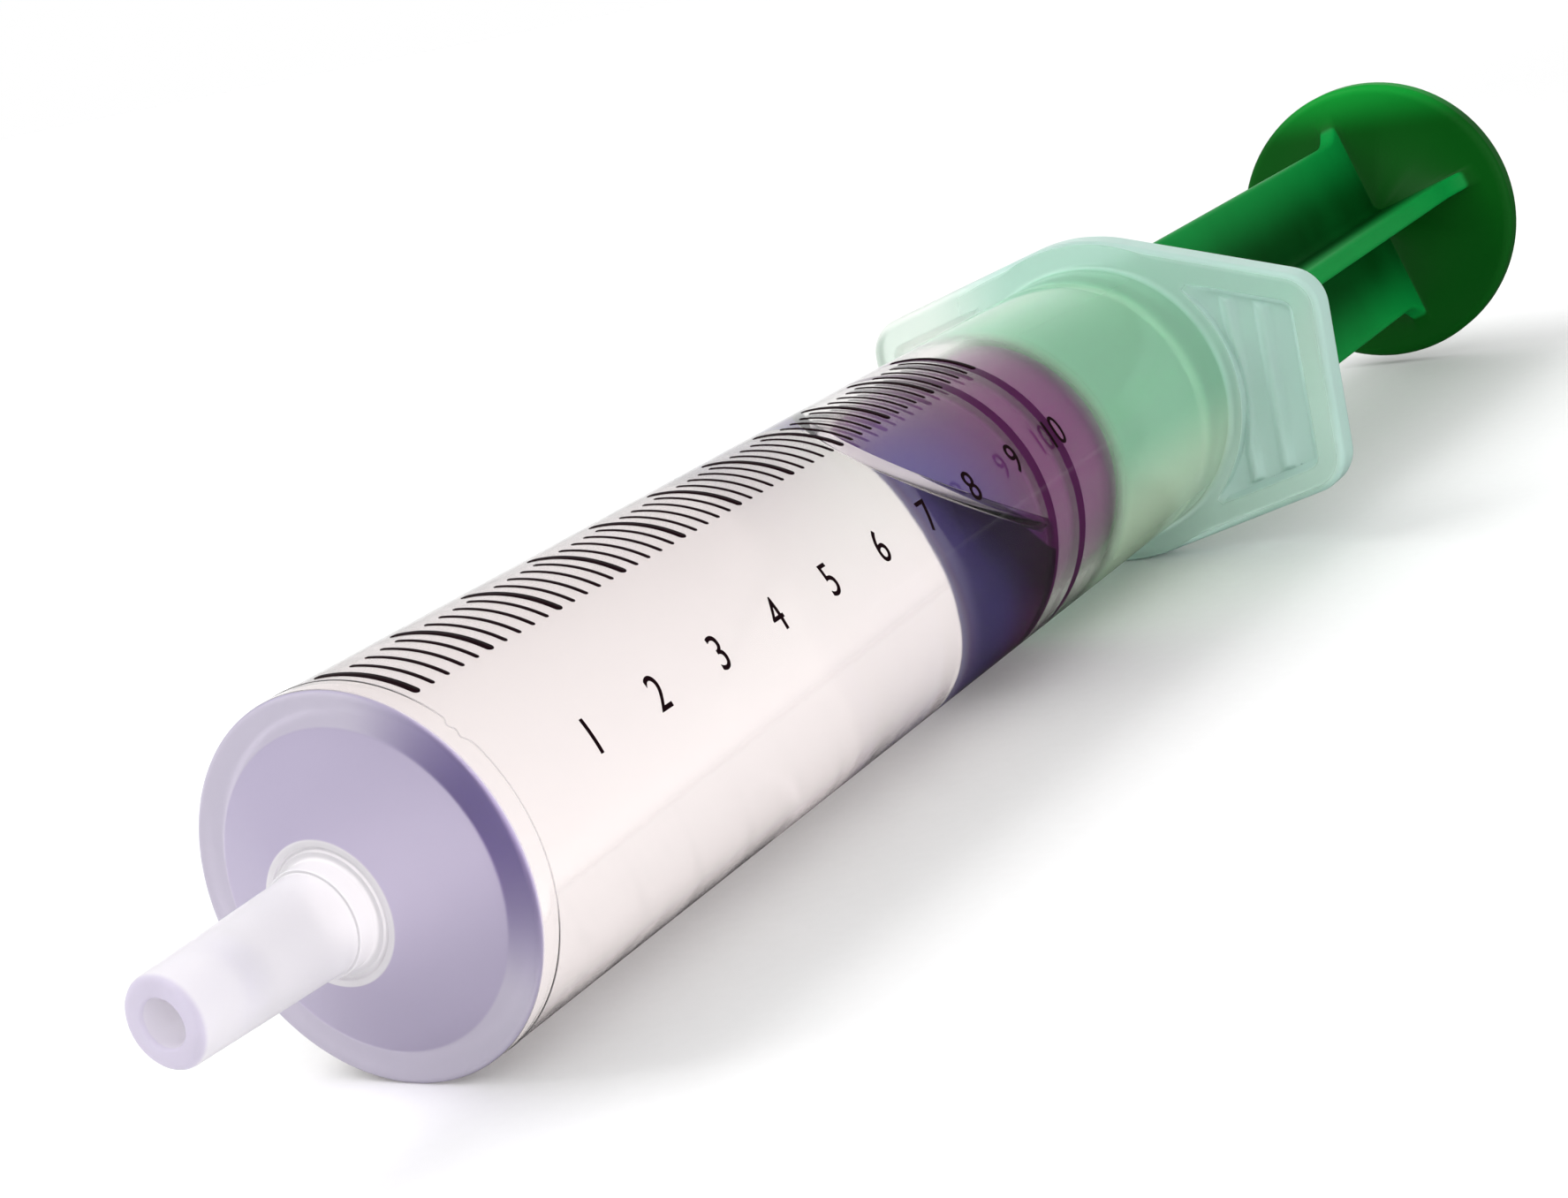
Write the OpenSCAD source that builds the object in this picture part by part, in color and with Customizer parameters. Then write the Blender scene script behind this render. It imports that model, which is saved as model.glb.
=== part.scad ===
// Ten millilitre prefilled syringe with a plain conical slip tip.
// The syringe lies along X: the tip's open end is at the origin and the thumb rest points to +X.
// The finger wings lie along Y and the printed scale runs along the top of the barrel, at +Z.

/* [Tip] */
// Outside diameter of the tip cone at its open end
tip_end_d = 4; // [3.9:0.05:4.1]
// Diameter gained for each millimetre along the tip cone
tip_taper_share = 0.06; // [0.05:0.01:0.07]
// Length of the tip cone
tip_len = 9.05; // [8:0.05:11]
// Diameter of the fluid passage in the tip
tip_bore_d = 2.1; // [1.6:0.1:2.4]
// Size of the bevel at the tip's open end
tip_bevel = 0.25; // [0.1:0.05:0.4]
// Diameter of the collar behind the tip cone
collar_d = 4.84; // [4.7:0.02:5.6]
// Length of the collar
collar_len = 1.1; // [0.6:0.1:2]

/* [Nose] */
// Diameter of the ring at the top of the nose cone
boss_d = 6.4; // [5.8:0.1:8]
// Width of the flat ring between the nose cone and the outside of the barrel
face_ring_w = 1.55; // [1.3:0.05:3]
// Height of the nose cone above the front face
nose_h = 2.25; // [1.2:0.05:3]

/* [Barrel] */
// Bore of the barrel
bore_d = 15.6; // [15.2:0.1:16.4]
// Wall of the barrel
barrel_wall = 1; // [0.8:0.05:1.6]
// Length of the barrel from its front face to the back of its flange
barrel_len = 79.4; // [76:0.1:90]
// Depth of the barrel's floor behind the front face, at the bore
floor_depth = 1.3; // [1:0.05:1.5]
// Size of the bevel round the front face
front_bevel = 0.25; // [0.1:0.05:0.5]
// Height of the bead inside the bore that keeps the plunger in
bead_h = 0.25; // [0.2:0.01:0.28]
// Length of the bead along the bore
bead_len = 3; // [2:0.1:4]
// Distance from the back of the bead to the back of the flange
bead_setback = 3.5; // [2.6:0.1:4.5]
// Bevel at the mouth of the bore
mouth_bevel = 0.4; // [0.2:0.05:0.6]

/* [Flange] */
// Span of the finger wings from end to end
wing_span = 31; // [27:0.5:36]
// Width of the wing ends before their corners are rounded
wing_end_w = 12.8; // [9:0.2:15]
// Diameter of the flange round the barrel
flange_d = 21; // [20:0.1:24]
// Thickness of the flange
flange_t = 2.4; // [1.8:0.1:3]
// Radius of the corners of the wings
wing_corner_r = 2.5; // [1.9:0.1:3]
// Width of the raised border round the flange's front
border_w = 1.6; // [1.2:0.1:1.8]
// Width of the raised ring where the flange meets the barrel
root_ring_w = 0.8; // [0.6:0.1:1.2]
// Depth of the panel between the ring and the border
panel_depth = 0.5; // [0.3:0.05:0.8]
// Number of grip ridges on each wing
ridge_count = 2; // [1:1:2]
// Distance between grip ridges
ridge_pitch = 2.15; // [1.6:0.05:2.2]
// Width of a grip ridge
ridge_w = 0.7; // [0.4:0.05:0.9]

/* [Scale] */
// Length of barrel that holds one millilitre
ml_pitch = 5.22; // [5:0.02:5.3]
// Number of millilitres on the scale
ml_count = 10; // [6:1:10]
// Number of divisions in a millilitre
ml_divisions = 5; // [2:1:5]
// Distance of the zero mark behind the front face
zero_setback = 1.98; // [1.96:0.02:2.6]
// Width of the line at each whole millilitre
whole_line_w = 0.44; // [0.3:0.02:0.6]
// Width of the line at each division
part_line_w = 0.24; // [0.15:0.01:0.3]
// Thickness of the printed ink
ink_t = 0.03; // [0.02:0.01:0.05]
// Angle from the top to the even end of the lines, towards -Y
line_even_angle = 26.5; // [20:0.5:40]
// Angle from the top to the end of the division lines, towards +Y
part_line_angle = 1.7; // [0:0.1:6]
// Angle from the top to the end of the whole millilitre lines, towards +Y
whole_line_angle = 8.7; // [6:0.1:20]

/* [Stopper] */
// Share of the whole scale at which the stopper's front seal stands
fill_share = 0.94; // [0.6:0.01:0.96]
// Radial clearance between the seals and the bore
seal_clear = 0.03; // [0.01:0.01:0.06]
// Height of the seals above the stopper's waist
seal_h = 0.37; // [0.3:0.01:0.5]
// Width of the crest of a seal
seal_crest = 0.6; // [0.4:0.05:0.8]
// Length of the slope on each side of a seal
seal_slope = 0.4; // [0.3:0.05:0.4]
// Distance between the two seals
seal_pitch = 3.7; // [3:0.1:5]
// Length from the front seal to the back of the stopper
stopper_back = 9.8; // [9:0.1:12]
// Diameter of the blunt end of the stopper's nose
stopper_nose_d = 2.8; // [2:0.1:4]

/* [Plunger rod] */
// Radial clearance between the fins and the bore
fin_clear = 0.5; // [0.35:0.05:1.5]
// Thickness of a fin
fin_t = 1.4; // [1:0.1:2]
// Length of the fins between the front disc and the thumb rest
rod_len = 70.8; // [68:0.1:76]
// Angle of the fins about the axis
fin_angle = -18; // [-45:1:45]
// Radial clearance between the bore and the disc behind the stopper
keeper_clear = 0.15; // [0.12:0.01:0.2]
// Thickness of the disc behind the stopper
keeper_t = 1.2; // [0.8:0.1:1.6]
// Diameter of the stud's neck
neck_d = 4.6; // [4:0.1:5.2]
// Length of the stud's neck inside the stopper
neck_len = 2.2; // [1.8:0.1:2.6]
// Diameter of the stud's head
head_d = 7.4; // [6.6:0.1:8]
// Length of the stud's head, its nose included
head_len = 3.6; // [3:0.1:4]
// Running clearance between the stud and the stopper
stud_clear = 0.08; // [0.05:0.01:0.1]
// Gap between the stopper's back and the disc
keeper_gap = 0.1; // [0.05:0.01:0.2]

/* [Thumb rest] */
// Diameter of the thumb rest
thumb_d = 22; // [20:0.5:26]
// Thickness of the thumb rest
thumb_t = 2.2; // [1.8:0.1:3]
// Bevel round the thumb rest
thumb_bevel = 0.4; // [0.2:0.05:0.6]
// Width of the flat rim round the dish
thumb_rim_w = 1.8; // [1.2:0.1:3]
// Depth of the dish
dish_depth = 0.5; // [0.3:0.05:0.8]
// Number of raised rings in the dish
dish_ring_count = 3; // [1:1:3]
// Width of a raised ring
dish_ring_w = 0.8; // [0.5:0.1:1]

/* [Hidden] */
$fn = 96;
overrun = 0.5;
fluid_gap = 0.02;

bore_r = bore_d / 2;
barrel_r = bore_r + barrel_wall;
tip_bore_r = tip_bore_d / 2;
tip_base_d = tip_end_d + tip_taper_share * tip_len;
boss_x = tip_len + collar_len;
front_x = boss_x + nose_h;
rear_x = front_x + barrel_len;
flange_x = rear_x - flange_t;
nose_r = barrel_r - face_ring_w;
// The floor of the barrel, the outside of the nose and the stopper's nose rise at one rate.
nose_rise = nose_h / (nose_r - boss_d / 2);
floor_x = front_x + floor_depth;
floor_tip_x = floor_x - (bore_r - tip_bore_r) * nose_rise;

bead_rear_x = rear_x - bead_setback;
bead_front_x = bead_rear_x - bead_len;

zero_x = front_x + zero_setback;
seal_r = bore_r - seal_clear;
seal_x = zero_x + fill_share * ml_count * ml_pitch;
seal_lead = seal_crest / 2 + seal_slope;
stopper_r = seal_r - seal_h;
shoulder_x = seal_x - seal_lead;
stopper_nose_x = shoulder_x - (stopper_r - stopper_nose_d / 2) * nose_rise;
stopper_rear_x = seal_x + stopper_back;
second_seal_x = seal_x + seal_pitch;

keeper_r = bore_r - keeper_clear;
rod_d = bore_d - 2 * fin_clear;
keeper_x = stopper_rear_x + keeper_gap;
fins_x = keeper_x + keeper_t;
thumb_x = fins_x + rod_len;
head_back_x = stopper_rear_x - neck_len;
head_front_x = head_back_x - head_len;
head_bevel_share = 0.4;

// Turns a shape drawn along Z so that it lies along X; a drawn angle of 180 becomes the top.
module along_x() {
    rotate([0, 90, 0]) children();
}

// Spins an outline of [radius, distance along the axis] points into a solid.
module turned(points) {
    along_x() rotate_extrude() polygon(points);
}

// Angle by which a flange's long edges lean, tangent to a circle and through the wing's corner.
function edge_lean(half_span, half_end, waist_r) =
    atan2(half_span, half_end) - acos(waist_r / norm([half_span, half_end]));

// Corner centre that keeps a rounded corner tangent to the wing's end and to its long edge.
function corner_y(half_span, waist_r, corner_r, lean) =
    (waist_r - corner_r - (half_span - corner_r) * sin(lean)) / cos(lean);

// Outline of the flange with its wings along the drawing's Y, drawn in by an inset.
module flange_outline(inset) {
    full_span = wing_span / 2;
    lean = edge_lean(full_span, wing_end_w / 2, flange_d / 2);
    half_span = full_span - inset;
    waist_r = flange_d / 2 - inset;
    corner_r = wing_corner_r - inset;
    corner_at = corner_y(full_span, flange_d / 2, wing_corner_r, lean);
    corner = [full_span - wing_corner_r, corner_at];
    edge = [sin(lean), cos(lean)];
    quarter = [waist_r * edge, corner + corner_r * edge, [half_span, corner_at]];
    rotate(90) {
        circle(r = waist_r);
        for (side_x = [-1, 1], side_y = [-1, 1])
            translate([side_x * corner[0], side_y * corner[1]])
                circle(r = corner_r);
        polygon(concat(
            quarter,
            [for (i = [2:-1:0]) [quarter[i][0], -quarter[i][1]]],
            [for (p = quarter) [-p[0], -p[1]]],
            [for (i = [2:-1:0]) [-quarter[i][0], quarter[i][1]]]
        ));
    }
}

// Grip ridges that stand in the panel of one wing, parallel to the wing's end.
module wing_ridges(side) {
    first = wing_span / 2 - border_w - ridge_pitch;
    intersection() {
        flange_outline(border_w / 2);
        for (i = [0:ridge_count - 1])
            translate([-flange_d / 2, side * (first - i * ridge_pitch) - ridge_w / 2])
                square([flange_d, ridge_w]);
    }
}

module flange() {
    translate([flange_x, 0, 0]) along_x() difference() {
        linear_extrude(flange_t) flange_outline(0);
        translate([0, 0, -overrun]) difference() {
            linear_extrude(panel_depth + overrun) flange_outline(border_w);
            linear_extrude(panel_depth + 2 * overrun) circle(r = barrel_r + root_ring_w);
            for (side = [-1, 1])
                linear_extrude(panel_depth + 2 * overrun) wing_ridges(side);
        }
        translate([0, 0, -overrun])
            linear_extrude(flange_t + 2 * overrun) circle(r = bore_r + barrel_wall / 2);
    }
}

module barrel() {
    color([0.86, 0.93, 0.91, 0.4]) {
        turned([
            [tip_bore_r, 0],
            [tip_end_d / 2 - tip_bevel, 0],
            [tip_end_d / 2, tip_bevel],
            [tip_base_d / 2, tip_len],
            [collar_d / 2, tip_len],
            [collar_d / 2, boss_x],
            [boss_d / 2, boss_x],
            [nose_r, front_x],
            [barrel_r - front_bevel, front_x],
            [barrel_r, front_x + front_bevel],
            [barrel_r, rear_x],
            [bore_r + mouth_bevel, rear_x],
            [bore_r, rear_x - mouth_bevel],
            [bore_r, bead_rear_x],
            [bore_r - bead_h, bead_rear_x - bead_len / 3],
            [bore_r - bead_h, bead_front_x + bead_len / 3],
            [bore_r, bead_front_x],
            [bore_r, floor_x],
            [tip_bore_r, floor_tip_x]
        ]);
        flange();
    }
}

// One printed line, as a thin sector that lies on the barrel.
module scale_line(line_x, line_w, far_angle) {
    translate([line_x - line_w / 2, 0, 0]) along_x() rotate(180 - far_angle)
        rotate_extrude(angle = far_angle + line_even_angle)
            translate([barrel_r, 0]) square([ink_t, line_w]);
}

module scale_marks() {
    color([0.13, 0.03, 0.08])
        for (i = [0:ml_count * ml_divisions]) {
            whole = i % ml_divisions == 0;
            scale_line(
                zero_x + i * ml_pitch / ml_divisions,
                whole ? whole_line_w : part_line_w,
                whole ? whole_line_angle : part_line_angle
            );
        }
}

// The fluid between the barrel's floor and the stopper's nose.
module fluid_fill() {
    color([0.85, 0.84, 0.9, 0.3]) turned([
        [0, floor_tip_x + fluid_gap],
        [tip_bore_r, floor_tip_x + fluid_gap],
        [bore_r - fluid_gap, floor_x + fluid_gap],
        [bore_r - fluid_gap, shoulder_x - fluid_gap],
        [stopper_r, shoulder_x - fluid_gap],
        [stopper_nose_d / 2, stopper_nose_x - fluid_gap],
        [0, stopper_nose_x - fluid_gap]
    ]);
}

// Outline points of one sealing rib whose crest is centred on a place along the axis.
function seal(crest_x) = [
    [stopper_r, crest_x - seal_lead],
    [seal_r, crest_x - seal_crest / 2],
    [seal_r, crest_x + seal_crest / 2],
    [stopper_r, crest_x + seal_lead]
];

module stopper() {
    color([0.2, 0.08, 0.16]) turned(concat(
        [[0, stopper_nose_x], [stopper_nose_d / 2, stopper_nose_x]],
        seal(seal_x),
        seal(second_seal_x),
        [
            [stopper_r, stopper_rear_x],
            [neck_d / 2 + stud_clear, stopper_rear_x],
            [neck_d / 2 + stud_clear, head_back_x + stud_clear],
            [head_d / 2 + stud_clear, head_back_x + stud_clear],
            [head_d / 2 + stud_clear, head_front_x + head_bevel_share * head_len],
            [head_d / 4 + stud_clear, head_front_x - stud_clear],
            [0, head_front_x - stud_clear]
        ]
    ));
}

// The stud snaps into the stopper, and the disc behind it pushes on the stopper's back.
module stud() {
    turned([
        [0, head_front_x],
        [head_d / 4, head_front_x],
        [head_d / 2, head_front_x + head_bevel_share * head_len],
        [head_d / 2, head_back_x],
        [neck_d / 2, head_back_x],
        [neck_d / 2, keeper_x],
        [keeper_r, keeper_x],
        [keeper_r, fins_x],
        [0, fins_x]
    ]);
}

// Two crossed webs whose outer edges are rounded to the rod's diameter.
module fins() {
    translate([fins_x - keeper_t / 2, 0, 0]) along_x() rotate(fin_angle) intersection() {
        linear_extrude(rod_len + keeper_t / 2 + thumb_t / 2) union() {
            square([rod_d, fin_t], center = true);
            square([fin_t, rod_d], center = true);
        }
        cylinder(d = rod_d, h = rod_len + keeper_t + thumb_t);
    }
}

module thumb_rest() {
    thumb_r = thumb_d / 2;
    dish_r = thumb_r - thumb_rim_w;
    ring_pitch = dish_r / (dish_ring_count + 1);
    turned([
        [0, thumb_x],
        [thumb_r - thumb_bevel, thumb_x],
        [thumb_r, thumb_x + thumb_bevel],
        [thumb_r, thumb_x + thumb_t - thumb_bevel],
        [thumb_r - thumb_bevel, thumb_x + thumb_t],
        [dish_r, thumb_x + thumb_t],
        [dish_r, thumb_x + thumb_t - dish_depth],
        [0, thumb_x + thumb_t - dish_depth]
    ]);
    for (i = [1:dish_ring_count])
        turned([
            [i * ring_pitch - dish_ring_w / 2, thumb_x + thumb_t / 2],
            [i * ring_pitch + dish_ring_w / 2, thumb_x + thumb_t / 2],
            [i * ring_pitch + dish_ring_w / 2, thumb_x + thumb_t - dish_depth / 2],
            [i * ring_pitch - dish_ring_w / 2, thumb_x + thumb_t - dish_depth / 2]
        ]);
}

module plunger_rod() {
    color([0.0, 0.36, 0.12]) {
        stud();
        fins();
        thumb_rest();
    }
}

barrel();
scale_marks();
fluid_fill();
stopper();
plunger_rod();
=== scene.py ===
from math import acos, atan2, cos, exp, hypot, pi, radians, sin, tan

import bmesh
import bpy
from mathutils import Euler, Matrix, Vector


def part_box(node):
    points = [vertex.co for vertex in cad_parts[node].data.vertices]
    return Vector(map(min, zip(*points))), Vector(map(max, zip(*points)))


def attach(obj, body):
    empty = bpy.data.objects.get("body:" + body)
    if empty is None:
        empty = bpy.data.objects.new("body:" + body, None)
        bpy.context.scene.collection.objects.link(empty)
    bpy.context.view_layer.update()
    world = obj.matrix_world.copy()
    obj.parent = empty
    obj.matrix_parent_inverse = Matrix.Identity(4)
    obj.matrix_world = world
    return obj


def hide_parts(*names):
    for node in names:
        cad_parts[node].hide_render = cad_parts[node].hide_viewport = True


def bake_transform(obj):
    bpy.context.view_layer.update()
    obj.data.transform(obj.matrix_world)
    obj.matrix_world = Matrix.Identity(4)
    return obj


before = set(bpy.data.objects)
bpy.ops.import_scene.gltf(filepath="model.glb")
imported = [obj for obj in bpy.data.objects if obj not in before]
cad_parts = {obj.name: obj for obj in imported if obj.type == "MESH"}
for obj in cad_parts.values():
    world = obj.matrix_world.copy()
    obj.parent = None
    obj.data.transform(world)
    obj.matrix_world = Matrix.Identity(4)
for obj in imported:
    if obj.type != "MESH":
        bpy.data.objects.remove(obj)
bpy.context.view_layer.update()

# Everything below is written in millimetres along the syringe, with x = 0 at the tip's open end, the wings
# along Y and the printed scale on the +Z side. The mesh helpers turn it into metres, the frame's own unit.
mm = 0.001
scene = bpy.context.scene


def boxOf(node):
    low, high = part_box(node)
    return [value / mm for value in low], [value / mm for value in high]


def addToScene(name, data):
    piece = bpy.data.objects.new(name, data)
    scene.collection.objects.link(piece)
    return piece


barrelHigh = boxOf("barrel")[1]
stopperLow, stopperHigh = boxOf("stopper")
rodLow, rodHigh = boxOf("plunger_rod")
print("stage: frame loaded")


# Camera, at the photograph's place.
camera = {
    "place": (-68.78, -75.78, 35.54),
    "turn": (75.645, 12.208, -60.208),
    "lens": 63.93,
    "sensor": 36,
    "near": 5,
    "far": 4000,
}


def addCamera():
    data = bpy.data.cameras.new("camera")
    data.lens = camera["lens"]
    data.sensor_width = camera["sensor"]
    data.clip_start = camera["near"] * mm
    data.clip_end = camera["far"] * mm
    holder = addToScene("camera", data)
    holder.location = Vector(camera["place"]) * mm
    holder.rotation_euler = Euler([radians(angle) for angle in camera["turn"]])
    scene.camera = holder


# Colours are written as sRGB hex and turned to linear here.
def colour(hexText):
    channels = [int(hexText[i:i + 2], 16) / 255 for i in (1, 3, 5)]
    linear = [c / 12.92 if c <= 0.04045 else ((c + 0.055) / 1.055) ** 2.4 for c in channels]
    return (*linear, 1)


# Settings that many nodes share.
times = {"operation": "MULTIPLY"}
minus = {"operation": "SUBTRACT"}
dotProduct = {"operation": "DOT_PRODUCT"}
softStep = {"interpolation_type": "SMOOTHSTEP"}


# Adds one node: its plain settings, then its sockets as values or links, by name, or by number as in _0.
def addNode(tree, kind, settings=None, **sockets):
    node = tree.nodes.new(kind)
    for key, value in (settings or {}).items():
        setattr(node, key, value)
    for key, value in sockets.items():
        socket = node.inputs[int(key[1:])] if key[1:].isdigit() else node.inputs[key.replace("_", " ")]
        if isinstance(value, bpy.types.NodeSocket):
            tree.links.new(value, socket)
        else:
            socket.default_value = value
    return node


def newMaterial(name):
    material = bpy.data.materials.new(name)
    material.use_nodes = True
    material.node_tree.nodes.clear()
    return material, material.node_tree


def finishMaterial(tree, shader):
    addNode(tree, "ShaderNodeOutputMaterial", Surface=shader.outputs[0])


# Object coordinates in millimetres, so that every pattern below has a real size, and their X, Y and Z.
def placeInMm(tree):
    place = addNode(tree, "ShaderNodeTexCoord").outputs["Object"]
    place = addNode(tree, "ShaderNodeVectorMath", {"operation": "SCALE"}, _0=place, Scale=1 / mm).outputs[0]
    return place, addNode(tree, "ShaderNodeSeparateXYZ", Vector=place).outputs


def distanceFromAxis(tree, parts):
    flat = addNode(tree, "ShaderNodeCombineXYZ", Y=parts["Y"], Z=parts["Z"]).outputs[0]
    return addNode(tree, "ShaderNodeVectorMath", {"operation": "LENGTH"}, _0=flat).outputs["Value"]


# Lays colours over a base, one after the other. Each layer is the share that it covers and its colour.
def layered(tree, base, *layers):
    for share, over in layers:
        base = addNode(tree, "ShaderNodeMix", {"data_type": "RGBA"}, _0=share, _6=base, _7=over).outputs[2]
    return base


# Moulded polypropylene. It is clear where the fluid wets it, and milky where both its faces meet air, with a
# little painted green there that stands for light from the green rod. It has painted light on the tube's
# lower side toward the camera, is milkier in the thick flange, with painted green from the rod there too, and
# has the most painted light in the +Y wing. The mould has frosted its nose, and the thick tip is nearly
# white. The parting line is greyer, and the bead in the bore has a painted highlight on its front and painted
# shade on its back. The wetted faces of the bore give back no light of their own, because the fluid bends
# light nearly as much as the wall does.
clearPlastic = {
    "ior": 1.49,
    "sheen": 0.2,
    "rippleSize": 3.0,
    "rippleStrength": 0.008,
    "wet": {"tint": "#f9f5f2", "clear": 1.0, "roughness": 0.06},
    # painted green in the dry tint: light from the green rod
    "dry": {"tint": "#b6eccc", "clear": 0.64, "roughness": 0.12},
    # painted light on the tube's lower side toward the camera
    "litLowSide": {"tint": "#e2efd6", "clear": 0.5, "roughness": 0.2},
    # painted green in the flange's tint: light from the green rod
    "flange": {"tint": "#cdeae2", "clear": 0.42, "roughness": 0.3},
    # painted light: the +Y wing is paler, as where more light falls
    "wing": {"tint": "#f5faf4", "clear": 0.6, "roughness": 0.3},
    "frosted": {"tint": "#d3c9e6", "clear": 0.46, "roughness": 0.5},
    "white": {"tint": "#fbf8fc", "clear": 0.38, "roughness": 0.45},
    # the passage's mouth is painted white, a painted glow for light that comes through it
    "mouth": {"tint": "#ffffff", "clear": 0.05, "roughness": 0.5},
    # painted violet: the stopper seen through the nose's ring, and painted shade round the fluid's thread in
    # the passage
    "deep": {"tint": "#a797d6", "clear": 0.76, "roughness": 0.42},
    "seam": {"tint": "#c8c2c4", "clear": 0.6, "roughness": 0.3},
    # painted highlight on the bead's front, then painted shade on its back
    "bead": {"tint": "#e2f4da", "clear": 0.3, "roughness": 0.2},
    "beadBackShade": {"tint": "#5fae88", "clear": 0.6, "roughness": 0.2},
    "dryReach": (-2.6, 0.4),        # from the stopper's back
    "paleAhead": (0, -0.7, -0.71),
    "paleReach": (5.2, 8.4),
    "paleShare": 0.75,
    "flangeReach": (-0.4, 0.2),     # from the flange's front
    "wingReach": (4, 12),
    # The parts that the mesh marks: the attribute, the kind of step, and the values where it starts and ends.
    # The violet mark is painted: on one side of the ring round the nose it stands for the stopper seen
    # through the ring, and in the passage it is painted shade round the end of the fluid's thread.
    "marks": {
        "frosted": ("frost", "SMOOTHSTEP", 0, 1),
        "white": ("frost", "SMOOTHSTEP", 1, 2),
        "mouth": ("frost", "SMOOTHSTEP", 2, 3),
        "deep": ("deep", "LINEAR", 0, 1),
        "seam": ("seam", "LINEAR", 0, 1),
        "bead": ("beadLightAndShade", "SMOOTHSTEP", 0, 1),
        "beadBackShade": ("beadLightAndShade", "SMOOTHSTEP", 0, -1),
    },
}


def makeClearPlastic(name, sheen):
    look = clearPlastic
    material, tree = newMaterial(name)
    place, parts = placeInMm(tree)
    dryFrom, dryTo = [stopperHigh[0] + reach for reach in look["dryReach"]]
    dry = addNode(tree, "ShaderNodeMapRange", softStep, Value=parts["X"], _1=dryFrom, _2=dryTo).outputs[0]
    thickFrom, thickTo = [flangeSizes["front"] + reach for reach in look["flangeReach"]]
    thick = addNode(tree, "ShaderNodeMapRange", softStep, Value=parts["X"], _1=thickFrom,
                    _2=thickTo).outputs[0]
    # painted light on the tube's lower side toward the camera
    ahead = addNode(tree, "ShaderNodeVectorMath", dotProduct, _0=place, _1=look["paleAhead"]).outputs["Value"]
    low = addNode(tree, "ShaderNodeMapRange", softStep, Value=ahead, _1=look["paleReach"][0],
                  _2=look["paleReach"][1], _4=look["paleShare"]).outputs[0]
    # painted light, strongest in the +Y wing
    far = addNode(tree, "ShaderNodeMapRange", softStep, Value=parts["Y"], _1=look["wingReach"][0],
                  _2=look["wingReach"][1]).outputs[0]
    shares = {
        "dry": dry,
        "litLowSide": addNode(tree, "ShaderNodeMath", times, _0=dry, _1=low).outputs[0],
        "flange": thick,
        "wing": addNode(tree, "ShaderNodeMath", times, _0=thick, _1=far).outputs[0],
    }
    for part, (mark, step, start, end) in look["marks"].items():
        value = addNode(tree, "ShaderNodeAttribute", {"attribute_name": mark}).outputs["Fac"]
        shares[part] = addNode(tree, "ShaderNodeMapRange", {"interpolation_type": step}, Value=value,
                               _1=start, _2=end).outputs[0]
    tint, clear, roughness = colour(look["wet"]["tint"]), look["wet"]["clear"], look["wet"]["roughness"]
    for part, share in shares.items():
        tint = layered(tree, tint, (share, colour(look[part]["tint"])))
        clear = addNode(tree, "ShaderNodeMix", _0=share, _2=clear, _3=look[part]["clear"]).outputs[0]
        roughness = addNode(tree, "ShaderNodeMix", _0=share, _2=roughness,
                            _3=look[part]["roughness"]).outputs[0]
    ripple = addNode(tree, "ShaderNodeTexNoise", Vector=place, Scale=1 / look["rippleSize"])
    bump = addNode(tree, "ShaderNodeBump", Height=ripple.outputs[0], Distance=mm,
                   Strength=look["rippleStrength"])
    shader = addNode(tree, "ShaderNodeBsdfPrincipled", Roughness=roughness, IOR=look["ior"],
                     Transmission_Weight=clear, Base_Color=tint, Specular_Tint=(sheen, sheen, sheen, 1),
                     Normal=bump.outputs[0])
    finishMaterial(tree, shader)
    return material


# Glycerine in water: as clear as water, only a little more refractive.
fluidLook = {"tint": "#fbfaff", "ior": 1.345, "roughness": 0.0}


def makeFluid(name, sheen):
    material, tree = newMaterial(name)
    shader = addNode(tree, "ShaderNodeBsdfPrincipled", Base_Color=colour(fluidLook["tint"]),
                     Roughness=fluidLook["roughness"], IOR=fluidLook["ior"], Transmission_Weight=1.0,
                     Specular_Tint=(sheen, sheen, sheen, 1))
    finishMaterial(tree, shader)
    return material


# Moulded rubber with a film of silicone oil: plum, with painted shade on the seals, where they are pressed on
# the wall, and a painted bluish haze on the cone in front. Ahead of the first seal it has painted shade just
# under the waterline, and the front has painted light on the side away from the camera.
rubberLook = {
    "dark": "#743272",
    "light": "#823e7c",
    # painted shade on the seals
    "seal": "#561c52",
    # painted bluish haze on the cone, for light scattered in the fluid
    "cone": "#6c68b8",
    # painted light on the front's side away from the camera
    "lit": "#a4a6e0",
    # painted shade just under the waterline
    "sunk": "#240622",
    "sealRise": (0.02, 0.25),       # out from the waist
    "coneReach": (1, 0.3),          # behind the nose and behind the shoulder
    "coneShare": 0.9,
    "litAhead": (0, 0.87, -0.5),
    "litReach": (4.2, 7.3),
    "litEdge": 0.3,
    "sunkReach": (1.5, 5.5),
    "sunkShare": 0.85,
    "sunkEdge": 0.2,
    "sunkEnd": 0.1,
    "roughness": 0.4,
    "ior": 1.5,
    "gloss": 0.05,
    "grain": 0.4,
    "grainDetail": 4,
}


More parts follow.
